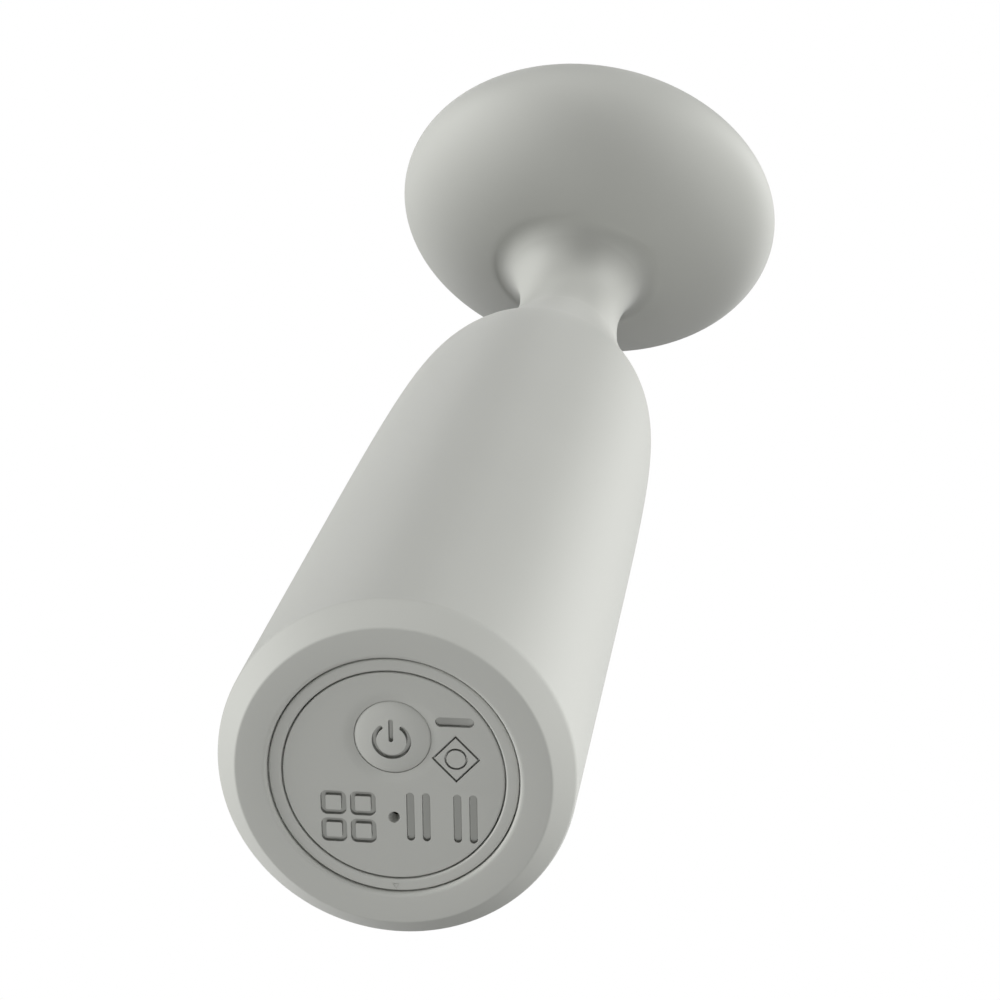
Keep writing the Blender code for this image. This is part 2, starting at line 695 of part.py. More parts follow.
def battery_leads():
    """Red lead up the side to the cell's top tab, black lead to its bottom tab."""
    wire = BATTERY_WIRE
    plug_top = BOARD_TOP + GAP + PLUG_HEIGHT + GAP
    red = [(1.6 * MM, 6.2 * MM, plug_top + wire), (4.5 * MM, 5.6 * MM, 15.5 * MM)]
    red += [(9.8 * MM, 2.6 * MM, 20 * MM)]
    red += [(11.6 * MM, 0.4 * MM, 28 * MM), (11.7 * MM, 0.0, 38 * MM), (11.7 * MM, 0.0, 60 * MM)]
    red += [(11.7 * MM, 0.0, 84 * MM), (10.6 * MM, 0.0, 94 * MM), (6.4 * MM, 0.0, 96.4 * MM)]
    red += [(2.6 * MM, 0.0, 95.0 * MM), (1.4 * MM, 0.0, 92.6 * MM)]
    lead("battery_lead_red", red, wire, "red_lead")
    black = [(-0.6 * MM, 6.4 * MM, plug_top + wire), (-1.2 * MM, 5.6 * MM, 16 * MM)]
    black += [(-1.0 * MM, 3.0 * MM, 20.5 * MM), (0.0, 0.0, CELL_FOOT - 2 * GAP - TAB_THICKNESS - wire)]
    lead("battery_lead_black", black, wire, "black_lead")


def motor_leads(neck_joint, head_joint):
    """The two-core motor lead in its round sheath, cut where it passes each neck joint."""
    radius = MOTOR_WIRE
    route = [(-6.5 * MM, 1.0 * MM, BOARD_TOP + GAP + radius), (-8.4 * MM, 0.6 * MM, 16 * MM)]
    route += [(-11.0 * MM, 0.0, 27 * MM), (-11.8 * MM, 0.0, 40 * MM), (-11.8 * MM, 0.0, 62 * MM)]
    route += [(-11.8 * MM, 0.0, 84 * MM), (-9.6 * MM, 0.0, 103 * MM), (-4.4 * MM, 0.0, 119 * MM)]
    route += [(-0.4 * MM, 0.0, 131 * MM), (0.0, 0.0, 142 * MM), (0.0, 0.0, LOWER_PIVOT - 1.0 * MM)]
    lead("motor_lead_handle", route, radius, "black_lead")
    stops = np.linspace(LOWER_PIVOT - 0.3 * MM, UPPER_PIVOT + 0.3 * MM, 5)
    route = [spine_frame(s).translation for s in stops]
    lead("motor_lead_neck", route, radius, "black_lead", neck_joint)
    inside = [(0.0, 0.0, -18.3 * MM), (0.0, 0.0, -12.0 * MM), (-0.5 * MM, 0.0, -9.2 * MM)]
    inside += [(-2.4 * MM, 0.0, -8.05 * MM), (-8.0 * MM, 0.0, -8.0 * MM), (-13.2 * MM, 0.0, -8.0 * MM)]
    inside += [(-15.6 * MM, 0.0, -6.7 * MM), (-16.1 * MM, 0.0, -4.4 * MM), (-15.4 * MM, 0.0, -2.4 * MM)]
    lead("motor_lead_head", [HEAD_PLACE @ Vector(p) for p in inside], radius, "black_lead", head_joint)


# Flexible neck


def neck_spring(joint):
    """Coil spring that gives the neck its bend, along the centre line."""
    mean, wire = 3.7 * MM, 0.4 * MM
    turns, steps, sides = 6, 12, 5
    low, high = LOWER_PIVOT + 1.0 * MM, UPPER_PIVOT - 1.0 * MM
    rings = []
    count = turns * steps
    for i in range(count + 1):
        angle = 2.0 * math.pi * i / steps
        frame = spine_frame(low + (high - low) * i / count) @ Matrix.Rotation(angle, 4, "Z")
        section = [2.0 * math.pi * k / sides for k in range(sides)]
        rings.append([frame @ Vector((mean + wire * math.cos(a), 0.0, wire * math.sin(a))) for a in section])
    ends = [[sum(ring, Vector()) / sides] for ring in (rings[0], rings[-1])]
    piece("neck_spring", add_rings(bmesh.new(), [ends[0], *rings, ends[1]]), "steel", joint)


def ferrule(name, outline, joint=None):
    """A turned sleeve on the centre line that anchors one end of the spring."""
    rings = [on_spine(circle(radius, height, 20)) for radius, height in outline]
    piece(name, add_rings(bmesh.new(), rings), "nickel", joint)


def ferrules(head_joint):
    bore, spigot, body, flange = 1.7 * MM, 2.8 * MM, 4.4 * MM, 6.3 * MM
    foot, seat = 134.0 * MM, 150.7 * MM
    tip = LOWER_PIVOT + 1.5 * MM
    outline = [(bore, foot), (flange, foot), (flange, foot + 2.5 * MM), (body, foot + 2.5 * MM)]
    outline += [(body, seat), (spigot, seat), (spigot, tip), (bore, tip)]
    ferrule("neck_ferrule_lower", outline)

    body = 4.3 * MM
    tip, seat = UPPER_PIVOT - 1.5 * MM, 169.2 * MM
    top = HEAD_CENTRE - 8.9 * MM
    outline = [(bore, tip), (spigot, tip), (spigot, seat), (body, seat), (body, top - 1.1 * MM)]
    outline += [(flange, top - 1.1 * MM), (flange, top), (bore, top)]
    ferrule("neck_ferrule_upper", outline, head_joint)


# Head shells and motor


def shell_turns(radius, half, start_radius, side, count):
    """Outline of a flattened ball from near its equator to a start radius round its axis."""
    first = math.asin(min(GAP / 2 / half, 1.0))
    last = math.acos(start_radius / radius)
    angles = np.linspace(first, last, count)
    return [(radius * math.cos(a), side * half * math.sin(a)) for a in angles]


def head_screw_places():
    return ring_places(SHELL_SCREW_RING, SHELL_SCREW_ANGLES)


def head_shells(joint):
    hole = 4.7 * MM
    outline = shell_turns(*SHELL_OUTER, hole, -1, 10)
    outline += reversed(shell_turns(*SHELL_INNER, hole, -1, 8))
    lower = piece("head_shell_lower", turned(outline, SHELL_SIDES), "housing_abs", joint, HEAD_PLACE)
    bosses = copies(lambda: rod(2.1 * MM, -6.0 * MM, -GAP / 2), head_screw_places())
    for y in (-CLAMP_POST_Y, CLAMP_POST_Y):
        rod(2.0 * MM, -9.9 * MM, -0.8 * MM, SMALL_SIDES, bosses, (0.0, y))
    combine(lower, helper("head_shell_lower_bosses", bosses, HEAD_PLACE), "UNION", "MANIFOLD")
    holes = copies(lambda: rod(SCREW_HOLE, -4.9 * MM, 1.0 * MM), head_screw_places())
    for y in (-CLAMP_POST_Y, CLAMP_POST_Y):
        rod(SCREW_HOLE, -6.5 * MM, 0.0, SMALL_SIDES, holes, (0.0, y))
    combine(lower, helper("head_shell_lower_holes", holes, HEAD_PLACE), "DIFFERENCE", "MANIFOLD")

    outline = shell_turns(*SHELL_OUTER, 0.0, 1, 11)
    outline += reversed(shell_turns(*SHELL_INNER, 0.0, 1, 9))
    dome = turned(turn_to_pole(outline), SHELL_SIDES)
    upper = piece("head_shell_upper", dome, "housing_abs", joint, HEAD_PLACE)
    bosses = copies(lambda: rod(2.1 * MM, GAP / 2, 5.6 * MM), head_screw_places())
    combine(upper, helper("head_shell_upper_bosses", bosses, HEAD_PLACE), "UNION", "MANIFOLD")
    holes = copies(lambda: stepped_hole(SHELL_SCREW_SEAT), head_screw_places())
    combine(upper, helper("head_shell_upper_holes", holes, HEAD_PLACE), "DIFFERENCE", "MANIFOLD")
    lift = Matrix.Translation((0.0, 0.0, SHELL_SCREW_SEAT + GAP))
    seats = [place @ lift for place in head_screw_places()]
    repeated("head_screw", lambda: screw(7.0 * MM), "steel", seats, joint, HEAD_PLACE)


def turn_to_pole(outline):
    """The same closed outline, started at its outer pole and ended at its inner pole."""
    poles = [i for i, (r, _) in enumerate(outline) if r < 1e-7]
    return outline[poles[1]:] + outline[:poles[0] + 1]


def motor(joint, rotor_joint):
    """Brushed vibration motor across the head, with an eccentric weight on its shaft."""
    place = HEAD_PLACE @ Matrix.Translation((0.0, 0.0, MOTOR_LIFT)) @ ALONG_X
    wall = 0.6 * MM
    bore = 2.5 * MM
    inside = MOTOR_RADIUS - wall
    can = [(bore, MOTOR_FRONT - wall), (inside, MOTOR_FRONT - wall), (inside, MOTOR_BACK)]
    can += [(MOTOR_RADIUS, MOTOR_BACK), (MOTOR_RADIUS, MOTOR_FRONT), (bore, MOTOR_FRONT)]
    piece("motor_can", turned(can), "nickel", joint, place)
    hole = SHAFT_RADIUS + GAP
    bell = pipe(hole, 7.5 * MM, MOTOR_BACK - GAP - 1.9 * MM, MOTOR_BACK - GAP)
    piece("motor_end_bell", bell, "black_plastic", joint, place)
    bush = pipe(hole, bore - GAP, MOTOR_FRONT - 2.0 * MM, MOTOR_FRONT + 0.8 * MM, 20)
    piece("motor_bush", bush, "brass", joint, place)
    motor_magnets(joint, place)
    shaft = rod(SHAFT_RADIUS, MOTOR_BACK - 1.6 * MM, WEIGHT_SPAN[1] + 0.8 * MM, 16)
    piece("motor_shaft", shaft, "steel", rotor_joint, place)
    commutator = pipe(hole, 2.4 * MM, -10.8 * MM, -7.6 * MM, 12)
    piece("motor_commutator", commutator, "brass", rotor_joint, place)
    piece("motor_armature", armature(hole), "magnet", rotor_joint, place)
    piece("eccentric_weight", weight(hole), "tungsten", rotor_joint, place)


def motor_magnets(joint, place):
    """Two curved magnets inside the can, a little short of half a turn each."""
    inner, outer = 6.1 * MM, 7.1 * MM
    low, high = -9.0 * MM, 7.0 * MM
    section = [(inner, low), (outer, low), (outer, high), (inner, high)]
    sweep = math.radians(130.0)
    spins = [Matrix.Rotation(math.radians(a), 4, "Z") for a in (25.0, 205.0)]
    repeated("motor_magnet", lambda: sector(section, 0.0, sweep, 8), "magnet", spins, joint, place)


def armature(hole):
    """Three-pole stack: wide pole faces on narrow arms round the shaft."""
    low, high = -6.6 * MM, 5.6 * MM
    reach = 5.5 * MM
    rim = []
    for pole in range(3):
        centre = 2.0 * math.pi * pole / 3
        for angle in (-46, -30, -15, 0, 15, 30, 46):
            rim.append((reach, centre + math.radians(angle)))
        rim.append((3.0 * MM, centre + math.radians(60)))
    ring = [(r * math.cos(a), r * math.sin(a)) for r, a in rim]
    bore = [(hole * math.cos(a), hole * math.sin(a)) for _, a in rim]
    levels = [(bore, low), (ring, low), (ring, high), (bore, high)]
    return add_rings(bmesh.new(), [[Vector((x, y, z)) for x, y in loop] for loop, z in levels])


def weight(hole):
    """Half-moon weight: a full hub with a heavy half disc on one side."""
    low, high = WEIGHT_SPAN
    count = 24
    outer = []
    inner = []
    for i in range(count):
        angle = 2.0 * math.pi * i / count
        heavy = math.pi + 1e-6 < angle < 2.0 * math.pi - 1e-6
        radius = WEIGHT_RADIUS if heavy else 2.4 * MM
        outer.append((radius * math.cos(angle), radius * math.sin(angle)))
        inner.append((hole * math.cos(angle), hole * math.sin(angle)))
    levels = [(inner, low), (outer, low), (outer, high), (inner, high)]
    return add_rings(bmesh.new(), [[Vector((x, y, z)) for x, y in loop] for loop, z in levels])


def motor_clamp(joint):
    """Strap over the motor can, screwed to two posts of the lower shell."""
    inner, outer = MOTOR_RADIUS + GAP, MOTOR_RADIUS + 1.0 * MM
    foot_low, foot_high = -0.5 * MM, 0.5 * MM
    reach = 13.4 * MM
    lift = MOTOR_LIFT
    section = []
    for i in range(13):
        angle = math.pi * i / 12
        section.append((outer * math.cos(angle), lift + outer * math.sin(angle)))
    section += [(-outer, foot_high), (-reach, foot_high), (-reach, foot_low), (-inner, foot_low)]
    for i in range(13):
        angle = math.pi - math.pi * i / 12
        section.append((inner * math.cos(angle), lift + inner * math.sin(angle)))
    section += [(inner, foot_low), (reach, foot_low), (reach, foot_high), (outer, foot_high)]
    bm = bmesh.new()
    half = 3.2 * MM
    face = bm.faces.new([bm.verts.new((-half, y, z)) for y, z in section])
    grown = bmesh.ops.extrude_face_region(bm, geom=[face])
    moved_verts = [v for v in grown["geom"] if isinstance(v, bmesh.types.BMVert)]
    bmesh.ops.translate(bm, verts=moved_verts, vec=(2 * half, 0.0, 0.0))
    strap = piece("motor_clamp", bm, "steel", joint, HEAD_PLACE)
    holes = bmesh.new()
    seats = []
    for y in (-CLAMP_POST_Y, CLAMP_POST_Y):
        rod(SCREW_HOLE, -2.0 * MM, 2.0 * MM, SMALL_SIDES, holes, (0.0, y))
        seats.append(Matrix.Translation((0.0, y, foot_high + GAP)))
    combine(strap, helper("motor_clamp_holes", holes, HEAD_PLACE), "DIFFERENCE")
    repeated("clamp_screw", lambda: screw(5.5 * MM), "steel", seats, joint, HEAD_PLACE)


def main():
    for obj in list(bpy.data.objects):
        bpy.data.objects.remove(obj)
    neck_joint = joint_empty("neck_pitch_axis", spine_frame(LOWER_PIVOT))
    head_joint = joint_empty("neck_sway_axis", spine_frame(UPPER_PIVOT), neck_joint)
    motor_axis = HEAD_PLACE @ Matrix.Translation((0.0, 0.0, MOTOR_LIFT))
    rotor_joint = joint_empty("motor_axis", motor_axis, head_joint)
    at_button = CAP_PLACE @ Matrix.Translation((0.0, BUTTON_Y, 0.0))
    button_joint = joint_empty("button_axis", at_button)
    switch_joint = joint_empty("switch_axis", at_button)

    handle_sleeve()
    neck_sleeve(neck_joint)
    head_cover(head_joint)
    housing()
    end_cap()
    gasket()
    base_pad()
    power_button(button_joint, switch_joint)
    board()
    battery()
    battery_leads()
    motor_leads(neck_joint, head_joint)
    neck_spring(neck_joint)
    ferrules(head_joint)
    head_shells(head_joint)
    motor(head_joint, rotor_joint)
    motor_clamp(head_joint)


main()
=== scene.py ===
"""Looks of the handheld wand massager: a fine continuous skin, a detailed foot, materials, light and camera.

Lengths are metres, written as millimetres times MM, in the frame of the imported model: the origin is the
centre of the foot, +Z runs up the handle and the head leans towards -Y. Heights on the skin are distances
along the wand's centre line.
"""

import json
import math

import bmesh
import bpy
import numpy as np
from mathutils import Matrix, Vector


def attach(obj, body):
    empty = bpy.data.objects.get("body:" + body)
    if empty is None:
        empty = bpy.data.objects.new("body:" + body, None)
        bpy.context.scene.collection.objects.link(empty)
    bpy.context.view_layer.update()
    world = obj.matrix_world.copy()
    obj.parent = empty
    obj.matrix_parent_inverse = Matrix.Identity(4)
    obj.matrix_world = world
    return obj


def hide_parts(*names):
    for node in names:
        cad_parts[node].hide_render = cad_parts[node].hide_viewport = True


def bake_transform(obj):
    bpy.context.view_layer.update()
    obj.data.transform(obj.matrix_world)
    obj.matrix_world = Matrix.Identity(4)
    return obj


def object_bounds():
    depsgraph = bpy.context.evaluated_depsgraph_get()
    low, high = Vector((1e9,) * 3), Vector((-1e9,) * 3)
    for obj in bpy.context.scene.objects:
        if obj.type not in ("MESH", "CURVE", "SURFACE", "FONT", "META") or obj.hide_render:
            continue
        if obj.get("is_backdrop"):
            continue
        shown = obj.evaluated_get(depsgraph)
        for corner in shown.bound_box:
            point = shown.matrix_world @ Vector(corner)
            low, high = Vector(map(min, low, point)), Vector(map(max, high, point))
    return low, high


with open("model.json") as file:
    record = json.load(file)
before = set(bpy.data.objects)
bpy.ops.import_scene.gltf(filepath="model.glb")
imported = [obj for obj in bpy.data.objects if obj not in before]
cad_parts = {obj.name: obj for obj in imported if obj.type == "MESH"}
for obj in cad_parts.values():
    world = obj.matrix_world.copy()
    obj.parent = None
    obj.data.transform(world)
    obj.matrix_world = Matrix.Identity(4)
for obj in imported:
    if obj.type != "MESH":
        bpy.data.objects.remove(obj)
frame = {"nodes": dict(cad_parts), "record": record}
cad_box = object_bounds()

MM = 0.001

# Angles between faces above which an edge is drawn sharp
SHARP_EDGE = math.radians(35.0)
SKIN_SHARP_EDGE = math.radians(60.0)
DOME_SHARP_EDGE = math.radians(50.0)

# Skin
SKIN_COLOUR = (0.555, 0.562, 0.528)
SIDES = 160
WALL_RADIUS = 18.3 * MM
FOOT_RADIUS = 16.05 * MM
FOOT_HOLE_RADIUS = 12.75 * MM
CHAMFER_HEIGHT = 2.2 * MM
WALL_TOP = 51.0 * MM
INFLECTION = (14.94 * MM, 124.0 * MM)
WAIST = (7.8 * MM, 164.5 * MM)
SHOULDER_PULLS = ((WALL_RADIUS, 110.6 * MM), (17.44 * MM, 115.0 * MM))
NECK_PULLS = ((13.34 * MM, 129.8 * MM), (WAIST[0], 156.0 * MM))
SKIN_THICKNESS = 1.9 * MM
FLARE_RADIUS = 13.4 * MM
FLARE_PULLS = (4.5 * MM, 4.0 * MM)
HEAD_RADIUS = 30.0 * MM
HEAD_HALF_THICKNESS = 14.3 * MM
COVER_THICKNESS = 2.0 * MM
SEAM = 160.0 * MM
SEAM_TUCK = 0.5 * MM
HANDLE_WALL_FOOT = 3.2 * MM
FLARE_TOP = 174.0 * MM
HEAD_BORE_TOP = 168.0 * MM
HEAD_MOUTH = (6.5 * MM, 173.5 * MM)
HEAD_HOLLOW_START = 8.0 * MM

# Centre line
BEND_START = 150.0 * MM
BEND_LENGTH = 23.0 * MM
BEND_ANGLE = math.radians(34.0)
HEAD_CENTRE = BEND_START + BEND_LENGTH + HEAD_HALF_THICKNESS

# Neck joints: the heights that bound each of the neck's two bends
LOWER_BEND = (146.0 * MM, 158.0 * MM)
UPPER_BEND = (163.0 * MM, 174.0 * MM)

# Recessed marks of the pad: plain shapes with a line width each
BAR = [(4.86 * MM, -6.1 * MM), (7.74 * MM, -6.1 * MM)]
BAR_LINE = 1.0 * MM
MOTIF_MIDDLE = (6.35 * MM, -2.15 * MM)
MOTIF_REACH = (2.3 * MM, 2.4 * MM)
MOTIF_CIRCLE = 1.05 * MM
MOTIF_LINE = 0.2 * MM
SLOTS_X = (1.65 * MM, 3.25 * MM, 6.4 * MM, 8.0 * MM)
SLOT_ENDS = (2.1 * MM, 6.6 * MM)
SLOT_LINE = 0.8 * MM
SQUARES_X = (-6.15 * MM, -3.15 * MM)
SQUARES_Y = (3.15 * MM, 6.15 * MM)
SQUARE_HALF = 1.05 * MM
SQUARE_CORNER = 0.4 * MM
SQUARE_LINE = 0.5 * MM

# Foot
CAP_CLOCK = math.radians(-6.0)
CAP_PLACE = Matrix.Rotation(CAP_CLOCK, 4, "Z")
CAP_SIDES = 144
CAP_RING = (11.34 * MM, 12.62 * MM)
CAP_RIM = 0.35 * MM
CAP_RECESS = 0.45 * MM
CAP_FLOOR = (2.3 * MM, 3.6 * MM)
CAP_SKIRT = (11.3 * MM, 14.0 * MM)
CAP_SKIRT_FOOT = 2.5 * MM
CAP_SKIRT_TOP = 8.0 * MM
CAP_SOFTNESS = 0.28 * MM
CAP_EDGE = 0.15 * MM
GASKET_GROOVE = (4.5 * MM, 6.4 * MM)
INDEX_RING = 11.98 * MM
INDEX_SIZE = 0.34 * MM
INDEX_LINE = 0.1 * MM
INDEX_DEPTH = 0.08 * MM
PAD_RADIUS = 11.2 * MM
PAD_BACK = 2.0 * MM
PAD_SOFTNESS = 0.2 * MM
# The pad's colour is a little darker than the skin's: painted shade on the downward face of the foot, which
# the shared lights leave too bright
PAD_PAINTED_SHADE = 0.97
EDGE_ROUNDING = 0.07 * MM
BUTTON_Y = -4.2 * MM
BUTTON_RADIUS = 3.87 * MM
BUTTON_HOLE = 3.9 * MM
BUTTON_CREST = 0.05 * MM
BUTTON_BACK = 1.6 * MM
BUTTON_SHAFT_HOLE = 1.7 * MM
DOME_RADIUS = 3.8 * MM
DOME_TURN = math.radians(76.0)
DISH_RADIUS = 5.1 * MM
DISH_DEPTH = 0.2 * MM
PORT_Y = 4.5 * MM
PORT_MOUTH = 0.62 * MM
PORT_RADIUS = 0.40 * MM
PORT_TAPER_END = 0.95 * MM
SOCKET_HOLE = 2.4 * MM
MARK_DEPTH = 0.5 * MM
SYMBOL_DEPTH = 0.75 * MM
SYMBOL_MIDDLE = (-0.03 * MM, 0.22 * MM)
SYMBOL_RADIUS = 1.74 * MM
SYMBOL_ARC = (-52.0, 232.0)
SYMBOL_BAR = [(-0.06 * MM, -1.83 * MM), (-0.06 * MM, 0.07 * MM)]
SYMBOL_LINE = 0.46 * MM
# Colour share for the faces that the mark and symbol cuts leave: painted shade, darker where shade falls
# inside the recesses
RECESS_PAINTED_SHADE = 0.72
BOARD_FOOT = 7.5 * MM
POST_ANGLES = (0.0, 135.0, 225.0)
POST_RING = 8.7 * MM
POST_RADIUS = 1.8 * MM
POST_BORE = 1.05 * MM

# Stage
FLOOR_DROP = 0.02 * MM
FLOOR_RADIUS = 3.0

# Camera and light
CAMERA_PLACE = Vector((31.144, -117.874, -239.951)) * MM
CAMERA_TURN = (160.698, -7.386, -5.288)
CAMERA_LENS = 96.99
SUN_ANGLE = math.radians(22.0)
# Soft studio suns as (azimuth from +X towards +Y, elevation, strength), all with the same wide disc
SUNS = {
    "left_front": (205.0, 0.0, 1.95),
    "left": (175.0, -10.0, 1.60),
    "left_high": (190.0, 65.0, 0.35),
    "right_front": (325.0, 5.0, 2.15),
    "right": (345.0, -5.0, 0.40),
    "right_high": (350.0, 45.0, 1.25),
    "back_right": (40.0, 40.0, 0.70),
    "back": (115.0, 25.0, 0.55),
    "below": (0.0, -80.0, 1.25),
    "below_back": (85.0, -70.0, 0.30),
}


# Curves and rings


def bezier(start, pull_a, pull_b, end, count):
    """Points of a cubic curve, without its first point."""
    steps = np.linspace(0.0, 1.0, count + 1)[1:, None]
    rest = 1.0 - steps
    curve = rest**3 * np.array(start) + 3 * rest**2 * steps * np.array(pull_a)
    return curve + 3 * rest * steps**2 * np.array(pull_b) + steps**3 * np.array(end)


def rounded(corners, steps=6):
    """A path through (radius, height, rounding) corners, each turned by a short smooth curve."""
    path = []
    points = [Vector(corner[:2]) for corner in corners]
    for i, corner in enumerate(corners):
        here, cut = points[i], corner[2] if len(corner) > 2 else 0.0
        if not cut:
            path.append(here)
            continue
        before = here + (points[i - 1] - here).normalized() * cut
        after = here + (points[(i + 1) % len(points)] - here).normalized() * cut
        for step in range(steps + 1):
            t = step / steps
            path.append(before * (1 - t) ** 2 + here * 2 * t * (1 - t) + after * t**2)
    return np.array([list(point) for point in path])


def spine(height):
    """The centre line's y, z and lean at distances from the foot."""
    turn = np.clip((height - BEND_START) / BEND_LENGTH, 0.0, 1.0) * BEND_ANGLE
    radius = BEND_LENGTH / BEND_ANGLE
    beyond = np.maximum(height - BEND_START - BEND_LENGTH, 0.0)
    y = -radius * (1.0 - np.cos(turn)) - beyond * np.sin(turn)
    z = np.minimum(height, BEND_START) + radius * np.sin(turn) + beyond * np.cos(turn)
    return y, z, turn


def spine_point(height):
    y, z, _ = spine(height)
    return Vector((0.0, float(y), float(z)))


def lathe(outline, sides, bent=False):
    """A solid turned through an outline of radius and height, round Z or round the bent centre line."""
    angle = np.arange(sides) * 2.0 * math.pi / sides
    bm = bmesh.new()
    loops = []
    for radius, height in outline:
        count = sides if radius > 1e-7 else 1
        across, side = radius * np.cos(angle[:count]), radius * np.sin(angle[:count])
        y, z, turn = spine(height) if bent else (0.0, height, 0.0)
        ring = np.stack([across, y + side * math.cos(turn), z + side * math.sin(turn)], axis=1)
        loops.append([bm.verts.new(point) for point in ring])
    pairs = list(zip(loops, loops[1:]))
    if len(loops[0]) > 1:
        pairs.append((loops[-1], loops[0]))
    for lower, upper in pairs:
        for i in range(sides if max(len(lower), len(upper)) > 1 else 0):
            j = (i + 1) % sides
            low = (lower[i % len(lower)], lower[j % len(lower)])
            high = (upper[j % len(upper)], upper[i % len(upper)])
            bm.faces.new(list(dict.fromkeys(low + high)))
    bmesh.ops.recalc_face_normals(bm, faces=bm.faces)
    return bm


def ribbon(path, width, low, high, closed=False):
    """A flat bar of a stroke's width along a path in the plane, with round ends unless it closes."""
    half = width / 2
    points = [Vector(p) for p in path]
    widths = [half] * len(points)
    if not closed:
        points, widths = round_ends(points, half)
    count = len(points)
    sections = []
    for i, point in enumerate(points):
        before = points[i - 1] if closed or i else point
        after = points[(i + 1) % count] if closed or i + 1 < count else point
        into, out = point - before, after - point
        into, out = into.normalized() if into.length else out.normalized(), out
        out = out.normalized() if out.length else into
        along = (into + out).normalized()
        side = Vector((-along.y, along.x)) * widths[i] / max(along.dot(into), 0.3)
        corners = ((point + side, low), (point - side, low), (point - side, high), (point + side, high))
        sections.append([(p.x, p.y, z) for p, z in corners])
    bm = bmesh.new()
    loops = [[bm.verts.new(corner) for corner in section] for section in sections]
    for first, second in zip(loops, loops[1:] + loops[:1] if closed else loops[1:]):
        for k in range(4):
            bm.faces.new((first[k], first[(k + 1) % 4], second[(k + 1) % 4], second[k]))
    if not closed:
        bm.faces.new(loops[0])
        bm.faces.new(loops[-1])
    bmesh.ops.recalc_face_normals(bm, faces=bm.faces)
    return bm


def round_ends(points, half):
    """The path carried on at each end by a half circle's narrowing widths."""
    turns = [math.radians(a) for a in (80.0, 65.0, 50.0, 35.0, 18.0)]
    start = (points[0] - points[1]).normalized()
    end = (points[-1] - points[-2]).normalized()
    head = [(points[0] + start * half * math.sin(a), half * math.cos(a)) for a in turns]
    tail = [(points[-1] + end * half * math.sin(a), half * math.cos(a)) for a in reversed(turns)]
    middle = [(point, half) for point in points]
    chain = head + middle + tail
    return [point for point, _ in chain], [width for _, width in chain]


def arc(centre, radius, start, end, count):
    """Points of a circle's arc, angles in degrees."""
    turns = [math.radians(start + (end - start) * i / count) for i in range(count + 1)]
    return [(centre[0] + radius * math.cos(a), centre[1] + radius * math.sin(a)) for a in turns]


def round_box(centre, half, corner):
    """Points of a square's outline with round corners."""
    points = []
    for sx, sy, start in ((1, 1, 0), (-1, 1, 90), (-1, -1, 180), (1, -1, 270)):
        middle = (centre[0] + sx * (half - corner), centre[1] + sy * (half - corner))
        points += arc(middle, corner, start, start + 90, 5)
    return points


# Pieces


def piece(name, bm, material, place=Matrix(), sharp=SHARP_EDGE):
    """A shown piece, with its material."""
    mesh = bpy.data.meshes.new(name)
    bm.to_mesh(mesh)
    bm.free()
    mesh.shade_smooth()
    mesh.set_sharp_from_angle(angle=sharp)
    obj = bpy.data.objects.new(name, mesh)
    bpy.context.scene.collection.objects.link(obj)
    obj.matrix_world = place
    obj.data.materials.append(material)
    return obj


def carve(obj, bm, operation="DIFFERENCE", lining=None):
    """Cut a shape out of a piece, or join it on. A lining is the material of the faces that the cut leaves."""
    mesh = bpy.data.meshes.new("tool")
    bm.to_mesh(mesh)
    bm.free()
    if lining:
        mesh.materials.append(lining)
    tool = bpy.data.objects.new("tool", mesh)
    bpy.context.scene.collection.objects.link(tool)
    tool.matrix_world = obj.matrix_world
    modifier = obj.modifiers.new("carve", "BOOLEAN")
    modifier.operation = operation
    modifier.material_mode = "TRANSFER" if lining else "INDEX"
    modifier.object = tool
    result = bpy.data.meshes.new_from_object(obj.evaluated_get(bpy.context.evaluated_depsgraph_get()))
    obj.modifiers.clear()
    obj.data = result
    bpy.data.objects.remove(tool)
    result.shade_smooth()
    result.set_sharp_from_angle(angle=SHARP_EDGE)


def at(bm, x, y):
    bm.transform(Matrix.Translation((x, y, 0.0)))
    return bm


def rod(radius, low, high, sides):
    return lathe([(0.0, low), (radius, low), (radius, high), (0.0, high)], sides)


# Materials


